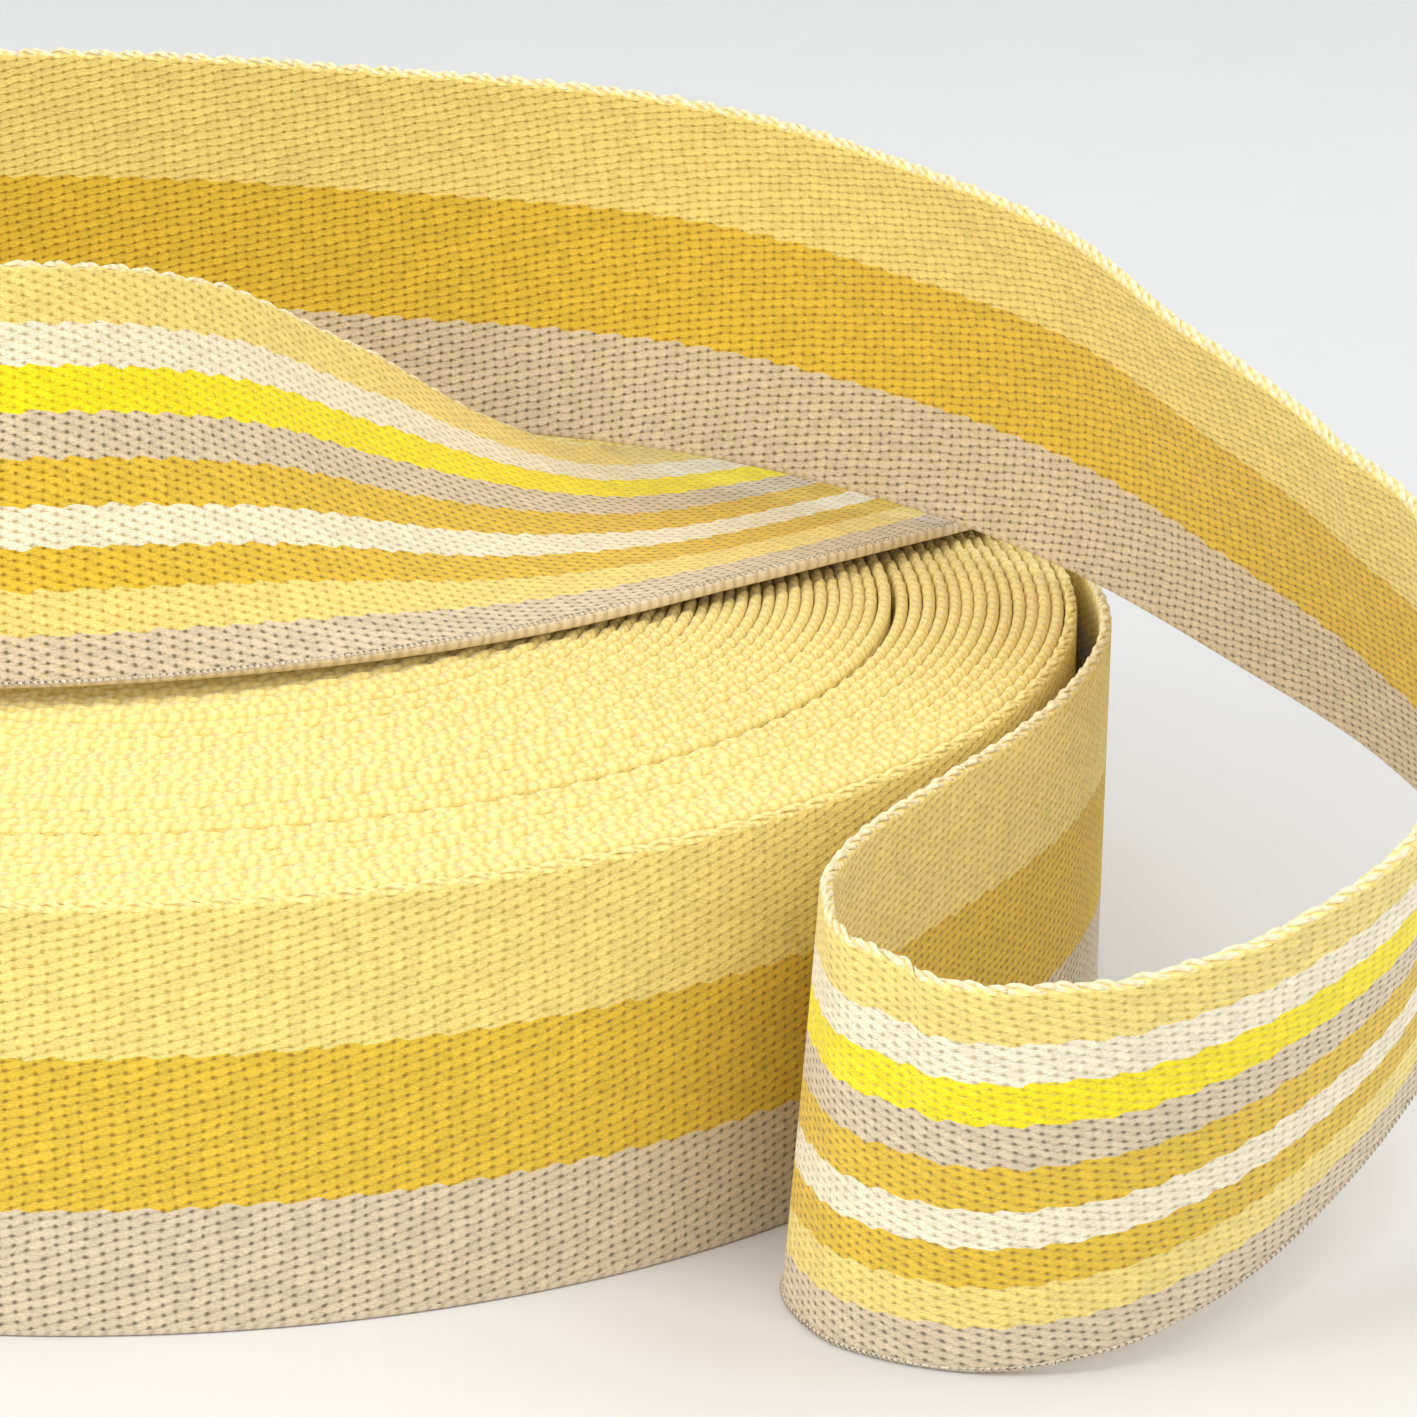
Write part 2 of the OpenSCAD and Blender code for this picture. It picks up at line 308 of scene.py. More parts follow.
ROUTE = np.array([on_coil(PEEL_RADIUS, PEEL_ANGLE)] + LOOSE)
LAST = len(ROUTE) - 1
STATIONS = np.vstack([on_coil(PEEL_RADIUS, PEEL_ANGLE + PEEL_STEP), ROUTE, 2 * ROUTE[-1] - ROUTE[-2]])


def route_at(s):
    """The five route values at each s, where whole numbers are stations."""
    i = np.clip(np.floor(s).astype(int), 0, LAST - 1)
    t = (s - i)[:, None]
    a, b, c, d = (STATIONS[i + step] for step in range(4))
    curve = 2 * b + (c - a) * t + (2 * a - 5 * b + 4 * c - d) * t**2 + (3 * b - a - 3 * c + d) * t**3
    return curve / 2


def loose_points(s, out, up):
    """Points of the loose strip: s along the route, out from its middle and up from its beige edge."""
    q = route_at(s)
    way = route_at(s + 0.02)[:, :3] - route_at(s - 0.02)[:, :3]
    way /= np.linalg.norm(way, axis=1)[:, None]
    rise = np.array([0, 0, 1.0]) - way[:, 2:] * way
    rise /= np.linalg.norm(rise, axis=1)[:, None]
    side = np.cross(rise, way)
    cup = np.where(np.abs(q[:, 4]) < 1e-3, 1e-3, q[:, 4])
    turn = cup * 2 / WIDTH
    low = np.radians(q[:, 3] - cup)[:, None]
    high = low + np.radians(turn)[:, None] * up
    reach = (180 / math.pi / turn)[:, None]
    climb = reach * (np.sin(high) - np.sin(low))
    lean = reach * (np.cos(high) - np.cos(low))
    foot = q[:, :3].copy()
    foot[:, 2] = np.maximum(foot[:, 2], HALF_THICK * np.abs(np.sin(np.radians(q[:, 3]))))
    rise_by = (climb - out * np.sin(high))[..., None]
    side_by = (-lean + out * np.cos(high))[..., None]
    return foot[:, None, :] + rise_by * rise[:, None, :] + side_by * side[:, None, :]


def loose_lengths():
    """Length in mm from the coil to each of many finely spaced s, along the strip's middle."""
    fine = np.linspace(0, LAST, LAST * 60 + 1)
    middle = loose_points(fine, np.zeros((1, 1)), np.full((1, 1), WIDTH / 2))[:, 0]
    steps = np.linalg.norm(np.diff(middle, axis=0), axis=1)
    return fine, np.concatenate([[0], np.cumsum(steps)])


FINE_S, FINE_LENGTH = loose_lengths()
LOOSE_LENGTH = FINE_LENGTH[-1]
print("loose strip", round(LOOSE_LENGTH, 1), "mm long")

# %% [markdown]
# ## The wound turns
# The coil is an even spiral built from half turns about two centres, as in the part. Distance along the
# strip is counted backwards from where it leaves the coil, so the weave runs on without a step. A hand
# wound coil isn't perfect: turns sit a little high or low, some are pressed inwards near the front, and one
# slack turn opens a thin dark line. Small smooth waves on radius and height give that.

# %% Spiral
half_radius = COIL_RADIUS - TURN_PITCH / 4 - np.arange(HALF_TURNS) * TURN_PITCH / 2
half_radius[0] += LAST_SLACK / 2
HALF_LENGTH = np.concatenate([[0], np.cumsum(math.pi * half_radius)])
COIL_LENGTH = HALF_LENGTH[-1]


def smooth_waves(seed, count, slowest, fastest):
    """A repeatable wavering value between about -1 and 1, as a sum of sines."""
    dice = np.random.default_rng(seed)
    pace = dice.uniform(slowest, fastest, count)
    start = dice.uniform(0, 2 * math.pi, count)

    def waves(x):
        return sum(np.sin(pace[i] * x + start[i]) for i in range(count)) / math.sqrt(count) * 0.9

    return waves


height_drift = smooth_waves(3, 9, 0.15, 2.6)
turn_drift = smooth_waves(5, 7, 0.9, 3.1)
in_out_drift = smooth_waves(8, 8, 0.3, 2.2)
# Gaps, drifts and radii are in mm, the press's direction and spread in radians, and its depth in turns.
SLACK_RADIUS = 74.5
SLACK_GAP = 0.55
SLACK_BLUR = 0.35
PRESS_DIRECTION = math.radians(-52)
PRESS_GAP = 0.55
PRESS_SPREAD = 0.42
PRESS_TURNS = 5.0
RADIUS_DRIFT = 0.10
HEIGHT_DRIFT = 0.14
TURN_DRIFT = 0.16
LOWEST_DRIFT = -0.28


def coil_points(along, out, up):
    """Points of the wound turns: along is 0 where the strip leaves the coil and falls inwards."""
    back = -along
    angle = np.interp(back, HALF_LENGTH, np.arange(HALF_TURNS + 1) * math.pi)
    half = np.minimum((angle / math.pi).astype(int), HALF_TURNS - 1)
    centre = np.where(half % 2 == 0, 1, -1) * TURN_PITCH / 4 + np.where(half == 0, LAST_SLACK / 2, 0)
    radius = half_radius[half]
    turn = angle / (2 * math.pi)
    facing = angle + math.radians(PEEL_ANGLE)
    settled = np.clip((turn - 0.75) / 0.5, 0, 1)
    slack = SLACK_GAP / (1 + np.exp((radius - SLACK_RADIUS) / SLACK_BLUR))
    off_press = np.angle(np.exp(1j * (facing - PRESS_DIRECTION)))
    nearby = np.exp(-((off_press / PRESS_SPREAD) ** 2)) * np.exp(-(((turn - 1) / PRESS_TURNS) ** 2))
    radius = radius + settled * (RADIUS_DRIFT * in_out_drift(angle) - slack - PRESS_GAP * nearby)
    lift = settled * (HEIGHT_DRIFT * height_drift(angle) + TURN_DRIFT * turn_drift(turn * 2.4))
    reach = radius[:, None] + out
    x = centre[:, None] + reach * np.cos(angle)[:, None]
    y = reach * np.sin(angle)[:, None]
    z = up + np.maximum(lift, LOWEST_DRIFT)[:, None] * (up / WIDTH)
    turned = math.radians(PEEL_ANGLE)
    spun_x = x * math.cos(turned) - y * math.sin(turned)
    spun_y = x * math.sin(turned) + y * math.cos(turned)
    return np.stack([spun_x, spun_y, z], axis=-1)


print("wound length", round(COIL_LENGTH / 1000, 2), "m")

# %% [markdown]
# ## One strip, many pieces
# A point on the cloth is known by its distance along the whole strip, out from its middle and up from
# its beige edge. One function places such a point anywhere, on the coil or on the loose strip. Pieces
# that meet share their last ring, so no seam shows between them.


# %% Placing points
def strip_points(along, out, up):
    if along[-1] <= 0:
        return coil_points(along, out, up) * MM
    return loose_points(np.interp(along, FINE_LENGTH, FINE_S), out, up) * MM


EDGE_RISE = 0.3
ROUND_STEPS = 6
FACE_ROWS = 44


def section(rows):
    """The closed outline of the cloth as (out, up, part): 0 is the three-stripe face, 1 the pale edge,
    2 the nine-stripe face and 3 the beige edge. Each edge is a flat-topped round."""
    face = [(HALF_THICK, EDGE + (WIDTH - 2 * EDGE) * i / rows, 0) for i in range(rows)]
    top = []
    for i in range(ROUND_STEPS + 1):
        turned = math.pi * i / ROUND_STEPS
        top.append((HALF_THICK * math.cos(turned), WIDTH - EDGE + EDGE_RISE * math.sin(turned) ** 0.7, 1))
    back = [(-out, WIDTH - up, 2) for out, up, _ in face]
    low = [(-out, max(0.0, WIDTH - EDGE_RISE - up), 3) for out, up, _ in top]
    return face + top[:-1] + back + low[:-1]


def flat_coil_section():
    """Inside the coil only the edges show, so a few corners are enough."""
    high = WIDTH - 0.5
    return [
        (0.62, 0.5, 0), (0.62, high, 1), (0.30, WIDTH, 1), (-0.30, WIDTH, 1),
        (-0.62, high, 2), (-0.62, 0.5, 3), (-0.30, 0, 3), (0.30, 0, 3),
    ]


# How fast the wave along the pale edge shifts from one side of it to the other, in radians a mm.
LOBE_SLANT = 3.2


def strip_mesh(name, along, outline, lobed):
    """Sweeps the outline along the strip, with a wave of height lobed, in mm, on the pale edge. The
    attributes along and across, in mm, drive the weave."""
    outs = np.array([p[0] for p in outline])[None, :]
    ups = np.array([p[1] for p in outline])[None, :]
    parts = np.array([p[2] for p in outline])
    ring_out = np.repeat(outs, len(along), axis=0)
    ring_up = np.repeat(ups, len(along), axis=0)
    lobe = np.cos(2 * math.pi * along[:, None] / SCALLOP + LOBE_SLANT * ring_out)
    ring_up = ring_up + (parts == 1)[None, :] * lobed * lobe
    rings, size = len(along), len(outline)
    points = strip_points(along, ring_out, ring_up).reshape(-1, 3)
    corner = np.arange(rings * size).reshape(rings, size)
    a, b = corner[:-1], np.roll(corner, -1, axis=1)[:-1]
    c, d = np.roll(corner, -1, axis=1)[1:], corner[1:]
    quads = np.stack([a, d, c, b], axis=-1).reshape(-1, 4)
    finish = np.tile(parts, rings - 1)
    faces = [tuple(q) for q in quads]
    ends = [tuple(corner[0]), tuple(corner[-1][::-1])]
    mesh = bpy.data.meshes.new(name)
    mesh.from_pydata(points.tolist(), [], faces + ends)
    mesh.polygons.foreach_set("material_index", list(finish) + [2] * len(ends))
    mesh.polygons.foreach_set("use_smooth", [True] * len(faces) + [False] * len(ends))
    add_values(mesh, "along", np.repeat(along, size))
    add_values(mesh, "across", np.tile(ups[0], rings))
    sharpen_ends(mesh, rings, size)
    return link_piece(name, mesh)


def sharpen_ends(mesh, rings, size):
    """The rim of each cut end stays sharp, so its cap doesn't bend the shading of the cloth."""
    pairs = np.empty(len(mesh.edges) * 2, dtype=np.int32)
    mesh.edges.foreach_get("vertices", pairs)
    pairs = pairs.reshape(-1, 2)
    rim = (pairs < size).all(axis=1) | (pairs >= (rings - 1) * size).all(axis=1)
    mesh.attributes.new("sharp_edge", "BOOLEAN", "EDGE").data.foreach_set("value", rim)


def add_values(mesh, name, values):
    data = mesh.attributes.new(name, "FLOAT", "POINT").data
    data.foreach_set("value", np.asarray(values, dtype=np.float32))


def link_piece(name, mesh):
    piece = bpy.data.objects.new(name, mesh)
    bpy.context.collection.objects.link(piece)
    return piece


def ring_places(first, last):
    """Evenly spaced distances along the strip, two to each column of the weave."""
    count = max(2, round((last - first) / (COLUMN / 2)))
    return np.linspace(first, last, count + 1)


print("section of", len(section(FACE_ROWS)), "points")

# %% [markdown]
# ## The stripes
# The warp is dyed in five colours: pale yellow, mustard, beige, cream and lemon. One face shows three
# stripes and the other nine. Each yarn is a pair here: its lit colour, and a deeper one that is painted
# shade for its holes, grooves and float ends. It is more strongly coloured, because light that goes down
# between yarns comes back more strongly coloured. A ramp with sharp stops turns the height on the strip
# into a stripe, which is simpler than one material to a stripe.

# %% Stripe colours
# Each pair is a yarn's lit colour, then its painted shade colour for holes, grooves and float ends.
PALE = ((0.93, 0.740, 0.235), (0.70, 0.49, 0.080))
MUSTARD = ((0.82, 0.550, 0.042), (0.43, 0.24, 0.008))
BEIGE = ((0.76, 0.62, 0.43), (0.24, 0.18, 0.10))
CREAM = ((0.95, 0.86, 0.65), (0.70, 0.57, 0.34))
LEMON = ((0.99, 0.82, 0.006), (0.88, 0.62, 0.003))
FACE_YARNS = [BEIGE, MUSTARD, PALE]
BACK_YARNS = [BEIGE, PALE, MUSTARD, CREAM, MUSTARD, BEIGE, LEMON, CREAM, PALE]


def stripe_stops(tops, yarns, depth):
    starts = [0] + [top / WIDTH for top in tops]
    return [(start, yarn[depth]) for start, yarn in zip(starts, yarns)]


# Depth 0 picks the lit colours and depth 1 the painted shade colours.
FACE_STRIPES = [stripe_stops(FACE_TOPS, FACE_YARNS, depth) for depth in (0, 1)]
BACK_STRIPES = [stripe_stops(BACK_TOPS, BACK_YARNS, depth) for depth in (0, 1)]
print(len(FACE_YARNS), "stripes on one face and", len(BACK_YARNS), "on the other")

# %% [markdown]
# ## The weave
# Each float of warp yarn is a plump oblique stitch, and where four of them meet there is a small dark
# hole. Modelled one by one, the floats would take millions of faces, so shader maths draws them. It finds
# the nearest hole from the distances along and across the strip and sinks it, and adds a shallow groove
# between rows. The holes, the grooves and the ends of each float get painted shade: their colour is mixed
# towards each yarn's shade colour. Each float also gets its own slight tone at random. Stripes change
# colour at a float and not at a ruled line, so their borders step with the twill. Slow noise makes the
# yarn uneven and wavers the rows, and a fine one, stretched along the yarn, gives the twist, whose
# streaks are partly the yarn's own tone and partly painted fibre highlight.


# %% Cloth finish
BORDER_STEP, BORDER_WAVER = 0.17, 0.45
# How far the holes, the grooves and the float ends darken is painted shade; the last value darkens at
# random.
HOLE_SHADE, GROOVE_SHADE, FLOAT_END_SHADE, MOTTLE_DARK = 0.95, 0.26, 0.05, 0.45
# The twist tone is partly the yarn's own streaks and partly painted fibre highlight.
TWIST_AND_HIGHLIGHT_TONE, BLOTCH_TONE, FLOAT_TONE = 0.85, 0.14, 0.13
HOLE_SINK, GROOVE_SINK, END_SINK, TWIST_RISE = 0.7, 0.45, 0.12, 0.90
YARN_RELIEF = 0.00022


def relief(finish, height, strength):
    """Bump from a height of 0 to 1, over the depth of a yarn."""
    settings = {"Strength": strength, "Distance": YARN_RELIEF, "Height": height}
    return finish.node("ShaderNodeBump", {}, settings)("Normal")


def cloth_finish(name, stops, climb, level):
    """Climb is how far each column sits below the last, in rows, and level how much of that slope the
    grooves between the holes lose."""
    finish = Finish(name)
    along = finish.attribute("along")
    across = finish.attribute("across")
    place = finish.vector(along, across, 0.0)
    sway = finish.noise(place, 0.30, 1.0) - 0.5
    shift = finish.noise(finish.vector(along, across, 9.0), 0.45, 1.0) - 0.5
    column = along / COLUMN + sway * 0.9
    row = across / ROW + column * climb + shift * 0.7
    near_column = column - column.nearest()
    lined = row - near_column * (climb * level)
    near_row = lined - lined.nearest()
    groove = near_row.bell(0.15)
    ends = near_column.bell(0.20)
    hole = near_row.bell(0.19) * near_column.bell(0.15)
    float_seed = finish.vector((column + 0.5).nearest(), (lined + 0.5).nearest(), 0.0)
    each_float = finish.node("ShaderNodeTexWhiteNoise", {}, {"Vector": float_seed})("Value")
    beat = column * (FACE_CLIMB * 2 * math.pi)
    step = beat.maths("SINE") + (beat * 2).maths("SINE") * 0.30
    border = (across - step * BORDER_STEP + shift * BORDER_WAVER) / WIDTH
    # The second ramp gives each stripe's painted shade colour.
    stripes, shade_colours = (finish.stripes(border.clamped(0.001, 0.999), each) for each in stops)
    spun = finish.vector(along * 2.2 + across * 2.6, across * 7.0 - along * 1.2, 3.0)
    twist = finish.noise(spun, 1.0, 3.0)
    blotch = finish.noise(finish.vector(along * 0.12, across * 0.25, 5.0), 1.0, 2.0)
    mottle = finish.noise(finish.vector(along * 0.9, across * 1.1, 7.0), 1.0, 2.0)
    # Painted shade in the holes, the grooves and at the float ends, with a random mottle, mixes each stripe
    # towards its shade colour.
    painted_shade_and_mottle = hole * HOLE_SHADE + groove * GROOVE_SHADE + ends * FLOAT_END_SHADE + (mottle - 0.5) * MOTTLE_DARK
    colour = finish.mix(painted_shade_and_mottle.clamped(0.0, 1.0), stripes, shade_colours)
    # The twist streaks lighten and darken the yarn: partly its own tone, partly painted fibre highlight.
    tone = (twist - 0.5) * TWIST_AND_HIGHLIGHT_TONE + (blotch - 0.5) * BLOTCH_TONE
    tone = tone + (each_float - 0.5) * FLOAT_TONE + 1.0
    grey = finish.vector(tone, tone, tone)
    colour = finish.mix(1.0, colour, grey, "MULTIPLY")
    height = 1 - groove * GROOVE_SINK - ends * END_SINK - hole * HOLE_SINK + (twist - 0.5) * TWIST_RISE
    finish.plug(colour, finish.surface.inputs["Base Color"])
    finish.plug(relief(finish, height, 0.9), finish.surface.inputs["Normal"])
    finish.plug((0.86 - twist * 0.12).clamped(0.6, 1.0), finish.surface.inputs["Roughness"])
    finish.uniform(Sheen_Weight=0.25, Sheen_Roughness=0.45, Specular_IOR_Level=0.25)
    return finish.material


def edge_finish(name, colour, valley_shade, strength):
    """An edge or its yarn: small slanting loops, with a valley colour of painted shade showing by strength
    between them.
    """
    finish = Finish(name)
    along = finish.attribute("along")
    across = finish.attribute("across")
    sway = finish.noise(finish.vector(along * 0.4, across * 0.2, 1.0), 1.0, 2.0) - 0.5
    column = along / COLUMN + across * 0.35 + sway * 1.2
    near = column - column.nearest()
    gap = near.bell(0.20)
    fibre = finish.noise(finish.vector(along * 3.5 + across * 2.0, across * 5.0, 2.0), 1.0, 3.0)
    slow = finish.noise(finish.vector(along * 0.07, 0.0, 4.0), 1.0, 3.0)
    tone = (fibre - 0.5) * 0.35 + (slow - 0.5) * 0.25 + 1.0
    # The valley colour between the loops is painted shade.
    mixed = finish.mix(gap * strength, (*colour, 1), (*valley_shade, 1))
    shaded = finish.mix(1.0, mixed, finish.vector(tone, tone, tone), "MULTIPLY")
    height = 1 - gap * 0.8 + (fibre - 0.5) * 0.5
    finish.plug(shaded, finish.surface.inputs["Base Color"])
    finish.plug(relief(finish, height, 0.7), finish.surface.inputs["Normal"])
    finish.plug((0.9 - fibre * 0.1).clamped(0.6, 1.0), finish.surface.inputs["Roughness"])
    finish.uniform(Sheen_Weight=0.3, Sheen_Roughness=0.5, Specular_IOR_Level=0.2)
    return finish.material


face_cloth = cloth_finish("three_stripe_cloth", FACE_STRIPES, FACE_CLIMB, level=0.2)
back_cloth = cloth_finish("nine_stripe_cloth", BACK_STRIPES, BACK_CLIMB, level=0.6)
# The second colour of each edge and yarn is the painted shade between its loops.
pale_edge = edge_finish("pale_selvedge", (0.93, 0.77, 0.29), (0.74, 0.50, 0.12), 0.55)
pale_loops = edge_finish("selvedge_loops", (0.94, 0.83, 0.53), (0.76, 0.60, 0.33), 0.6)
# The coil's loops are the same yarn as the loose strip's, in a deeper yellow that is painted shade for the
# gaps between packed turns.
shaded_coil_loops = edge_finish("shaded_coil_loops", (0.95, 0.79, 0.33), (0.80, 0.58, 0.17), 0.5)
beige_edge = edge_finish("beige_selvedge", (0.75, 0.62, 0.45), (0.46, 0.35, 0.21), 0.6)
catch_yarn = edge_finish("catch_yarn", (0.83, 0.71, 0.53), (0.62, 0.49, 0.32), 0.4)
STRIP_FINISHES = [face_cloth, pale_edge, back_cloth, beige_edge]
print("two cloth finishes and five for the edges and their yarns")

# %% [markdown]
# ## Pieces of the strip
# The coil is cut into four lengths only to keep each mesh a handy size. The inner three show nothing
# but their edges, so they have a light section. The last turn has a full one. The loose strip is three
# lengths, because the part can fold at two places: where it leaves the coil and at the front bend.

# %% Lengths
# Two stations before the bend and four after it, so that the whole turn is in one piece.
TURN = HALF_LENGTH[2]
INNER_CUTS = [-COIL_LENGTH, -COIL_LENGTH * 0.63, -COIL_LENGTH * 0.28, -TURN]
BEND_START = float(np.interp(BEND - 2, FINE_S, FINE_LENGTH))
BEND_END = float(np.interp(BEND + 4, FINE_S, FINE_LENGTH))


def dress(piece):
    for material in STRIP_FINISHES:
        piece.data.materials.append(material)
    return piece


COIL_LOBE = 0.17
light = flat_coil_section()
full = section(FACE_ROWS)
inner_turns = dress(strip_mesh("inner_turns", ring_places(*INNER_CUTS[0:2]), light, COIL_LOBE))
middle_turns = dress(strip_mesh("middle_turns", ring_places(*INNER_CUTS[1:3]), light, COIL_LOBE))
outer_turns = dress(strip_mesh("outer_turns", ring_places(*INNER_CUTS[2:4]), light, COIL_LOBE))
last_turn = dress(strip_mesh("last_turn", ring_places(-TURN, 0), full, SCALLOP_DEPTH))
side_length = dress(strip_mesh("side_length", ring_places(0, BEND_START), full, SCALLOP_DEPTH))
bend_length = dress(strip_mesh("bend_length", ring_places(BEND_START, BEND_END), full, SCALLOP_DEPTH))
loop_length = dress(strip_mesh("loop_length", ring_places(BEND_END, LOOSE_LENGTH), full, SCALLOP_DEPTH))
coil_pieces = [inner_turns, middle_turns, outer_turns, last_turn]
for piece in coil_pieces + [side_length, bend_length, loop_length]:
    print(piece.name, len(piece.data.polygons), "faces")

# %% [markdown]
# ## Looped selvedge and catch thread
# Along the pale edge the weft shows as a row of little loops, and along the beige edge a fine thread is
# knitted into the loops to hold them. Both are real yarns, so both are swept tubes. Two pairs of strands
# twist round the pale edge, one turn to a scallop, and two finer strands cross like a chain on the other.


# %% Yarn tubes
def yarn_mesh(name, first, last, spots, radius, step, sides=5):
    """A tube whose centre follows spots(along), which gives how far out, up and ahead it is there."""
    count = int((last - first) / step)
    along = np.linspace(first, last, count + 1)
    out, up, ahead = spots(along)
    reach = np.clip(along + ahead, first, last)
    ring = 2 * math.pi * np.arange(sides) / sides
    outs = out[:, None] + radius * np.cos(ring)[None, :]
    ups = up[:, None] + radius * np.sin(ring)[None, :]
    points = strip_points(reach, outs, ups).reshape(-1, 3)
    corner = np.arange((count + 1) * sides).reshape(count + 1, sides)
    a, b = corner[:-1], np.roll(corner, -1, axis=1)[:-1]
    c, d = np.roll(corner, -1, axis=1)[1:], corner[1:]
    quads = [tuple(q) for q in np.stack([a, d, c, b], axis=-1).reshape(-1, 4)]
    ends = [tuple(corner[0]), tuple(corner[-1][::-1])]
    mesh = bpy.data.meshes.new(name)
    mesh.from_pydata(points.tolist(), [], quads + ends)
    mesh.polygons.foreach_set("use_smooth", [True] * (len(quads) + 2))
    add_values(mesh, "along", np.repeat(along, sides))
    add_values(mesh, "across", np.tile(ring / 3, count + 1))
    return link_piece(name, mesh)


uneven = smooth_waves(31, 7, 0.4, 2.4)
ROPE_OUT, ROPE_RISE, ROPE_SUNK = 0.36, 0.32, 0.44
ROPE_WAVER, ROPE_LOOSE = 0.6, 0.18
PAIR_LAG = 0.62
ROPE_RADIUS, ROPE_STEP = 0.24, 0.33


def rope_strand(phase):
    def spots(along):
        turned = 2 * math.pi * along / SCALLOP + phase + ROPE_WAVER * uneven(along * 0.6)
        loose = 1 + ROPE_LOOSE * uneven(along)
        wave = SCALLOP_DEPTH * np.cos(2 * math.pi * along / SCALLOP)
        rise = WIDTH - ROPE_SUNK + wave + ROPE_RISE * loose * np.sin(turned)
        return ROPE_OUT * np.cos(turned), rise, 0 * along

    return spots


CHAIN_PROUD, CHAIN_MIDDLE, CHAIN_RISE, CHAIN_LEAN = 0.06, 0.46, 0.14, 0.26
CHAIN_RADIUS, CHAIN_STEP = 0.16, 0.21


def chain_strand(phase):
    def spots(along):
        turned = 2 * math.pi * along / COLUMN + phase
        out = -HALF_THICK + CHAIN_PROUD * np.cos(2 * turned)
        return out, CHAIN_MIDDLE + CHAIN_RISE * np.sin(turned), CHAIN_LEAN * np.sin(2 * turned)

    return spots


def join(name, parts):
    bpy.ops.object.select_all(action="DESELECT")
    for part in parts:
        part.select_set(True)
    bpy.context.view_layer.objects.active = parts[0]
    bpy.ops.object.join()
    parts[0].name = name
    return parts[0]


def edge_yarns(name, first, last, loop_finish):
    """The loops and the catch thread of one length, each joined into one piece."""
    ropes = (rope_strand(phase) for phase in (0, PAIR_LAG, math.pi, math.pi + PAIR_LAG))
    yarns = [yarn_mesh("yarn", first, last, spots, ROPE_RADIUS, ROPE_STEP) for spots in ropes]
    loops = join(name + "_loops", yarns)
    loops.data.materials.append(loop_finish)
    pair = (chain_strand(phase) for phase in (0, math.pi))
    strands = [yarn_mesh("strand", first, last, spots, CHAIN_RADIUS, CHAIN_STEP) for spots in pair]
    chain = join(name + "_catch_thread", strands)
    chain.data.materials.append(catch_yarn)
    return [loops, chain]


coil_yarns = edge_yarns("last_turn", -TURN, 0, shaded_coil_loops)
side_yarns = edge_yarns("side_length", 0, BEND_START, pale_loops)
bend_yarns = edge_yarns("bend_length", BEND_START, BEND_END, pale_loops)
loop_yarns = edge_yarns("loop_length", BEND_END, LOOSE_LENGTH, pale_loops)
print("selvedge loops and catch threads on four lengths")

# %% [markdown]
# ## Bodies and joints
# The coil's pieces ride on the coil. Cut at a joint, cloth would open like a door. The side length and
# the bend, which cross one each, are baked in place and ride with neither body. The rest rides with the
# loose end.

# %% Ride or stay in place
PEEL_STRETCH = 26.0


def middle_of_strip(along):
    """The middle of the loose strip, at a distance from where it leaves the coil."""
    places = np.array([along, along + 1e-3])
    return tuple(strip_points(places, np.zeros((1, 1)), np.full((1, 1), WIDTH / 2))[0, 0])


for piece in coil_pieces + coil_yarns:
    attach(piece, "wound_coil")
for piece in [side_length] + side_yarns:
    start, end = middle_of_strip(0.0), middle_of_strip(PEEL_STRETCH)
    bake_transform(piece)
for piece in [bend_length] + bend_yarns:
    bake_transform(piece)
for piece in [loop_length] + loop_yarns:
    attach(piece, "loose_run")

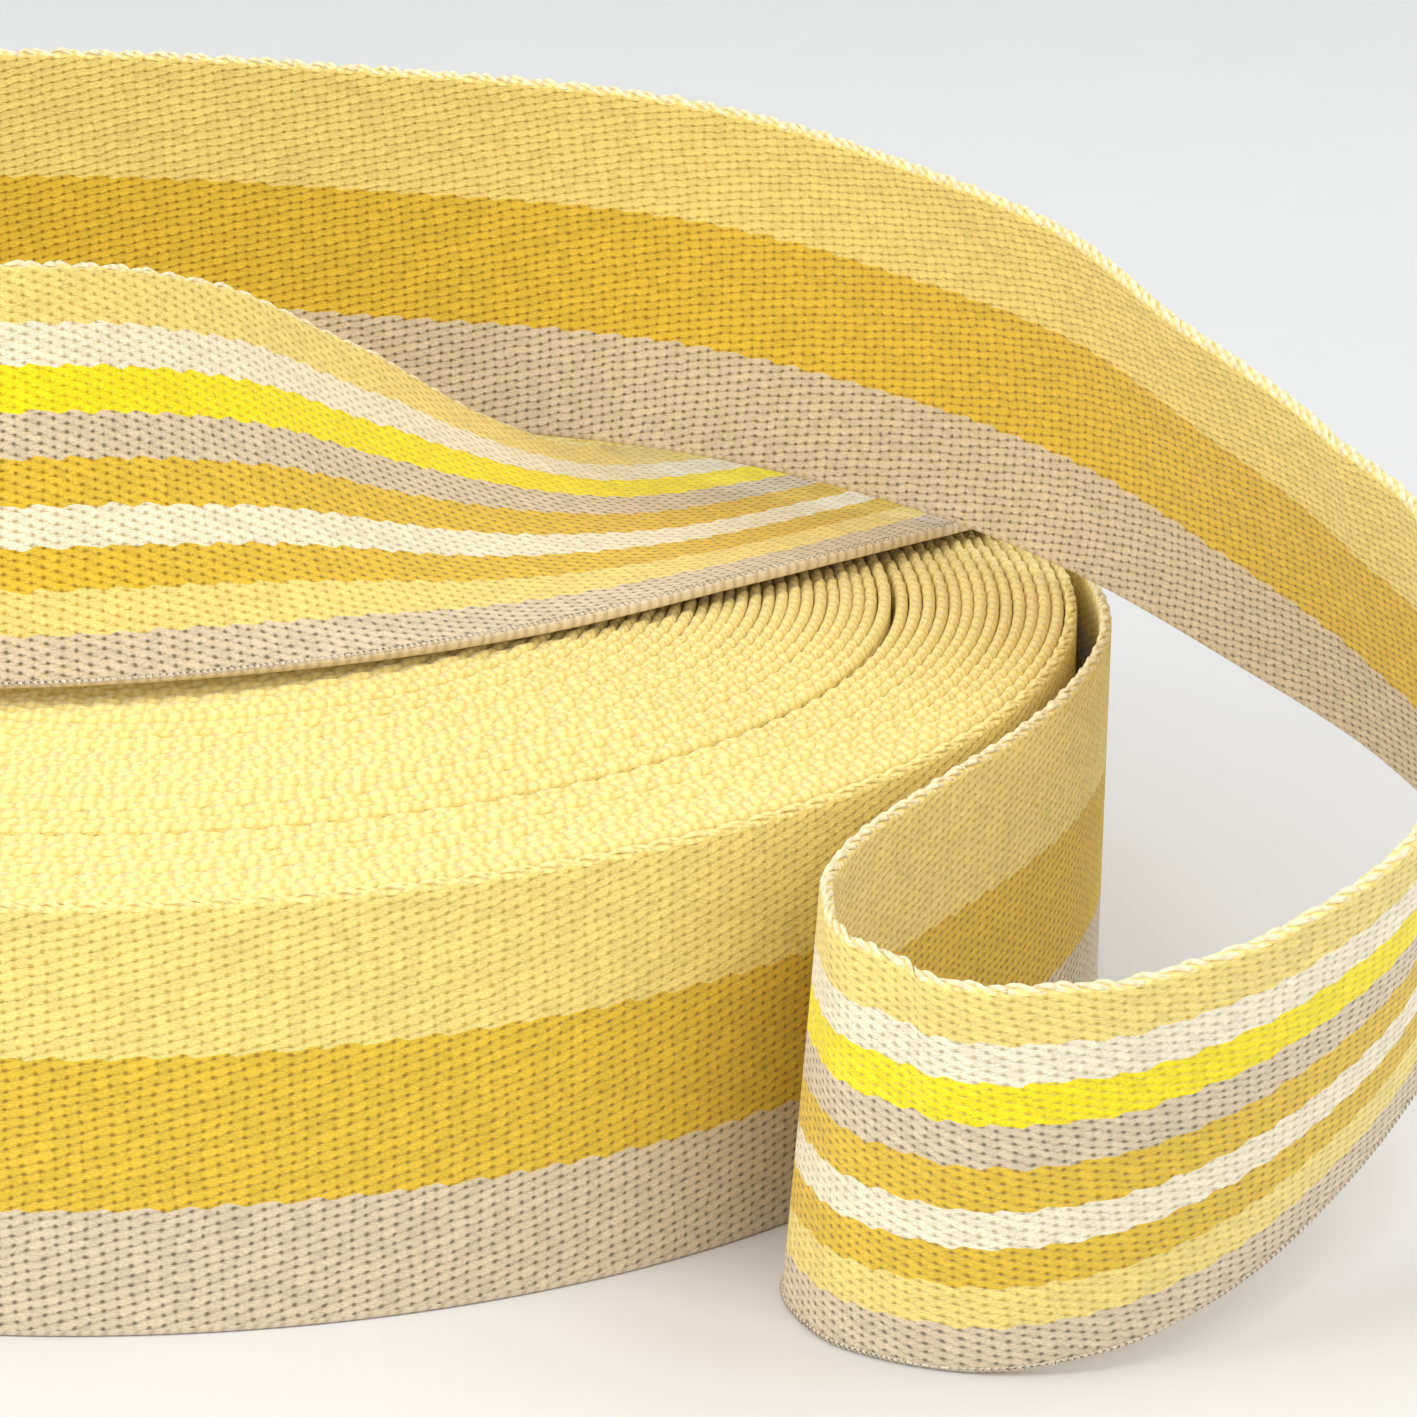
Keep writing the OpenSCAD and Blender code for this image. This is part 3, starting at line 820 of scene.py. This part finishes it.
# %% [markdown]
# ## The solids each length hides
# The frame has a solid for every yarn group on each of the three bodies. A length of cloth shows all the
# yarns at once, so the solids of the whole set of its body are hidden. The edge yarns hide none by
# themselves.

# %% Hide the solids under the cloth
YARNS = [
    "weft", "catch_thread", "face_beige", "face_mustard", "face_pale", "back_edge_beige",
    "back_low_pale", "back_low_mustard", "back_low_cream", "back_mustard", "back_beige",
    "back_lemon", "back_cream", "back_pale",
]
for piece in coil_pieces:
    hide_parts(*["coil_" + yarn for yarn in YARNS])
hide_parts(*["leg_" + yarn for yarn in YARNS])
for piece in (bend_length, loop_length):
    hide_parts(*["run_" + yarn for yarn in YARNS])

print("the cloth stands for", 3 * len(YARNS), "solids")

# %% [markdown]
# ## Flat sizes
# Webbing doesn't stretch, so each length can be laid out flat as a rectangle, as wide as the strip and as
# long as its middle.


print("seven lengths of cloth")

# %% [markdown]
# ## The floor
# A plain pale floor, far larger than the object, that curves up behind into the backdrop.


# %% Floor
def make_floor():
    reach, depth, climb, radius = 3.0, 2.2, 2.0, 0.9
    profile = [(-reach, 0.0), (depth - radius, 0.0)]
    for i in range(1, 13):
        turned = math.pi / 2 * i / 12
        profile.append((depth - radius + radius * math.sin(turned), radius - radius * math.cos(turned)))
    profile.append((depth, climb))
    points = [(x, y, z) for y, z in profile for x in (-reach, reach)]
    faces = [(2 * i, 2 * i + 1, 2 * i + 3, 2 * i + 2) for i in range(len(profile) - 1)]
    mesh = bpy.data.meshes.new("floor")
    mesh.from_pydata(points, [], faces)
    mesh.polygons.foreach_set("use_smooth", [True] * len(faces))
    floor = link_piece("floor", mesh)
    floor.location = (0, 0, -0.00005)
    finish = Finish("floor_paper")
    grain = finish.noise(finish.node("ShaderNodeTexCoord")("Object"), 40.0, 3.0)
    tint = finish.mix(grain, (0.727, 0.723, 0.715, 1), (0.747, 0.743, 0.735, 1))
    finish.plug(tint, finish.surface.inputs["Base Color"])
    finish.uniform(Roughness=0.75, Specular_IOR_Level=0.2)
    mesh.materials.append(finish.material)


make_floor()
print("floor laid")
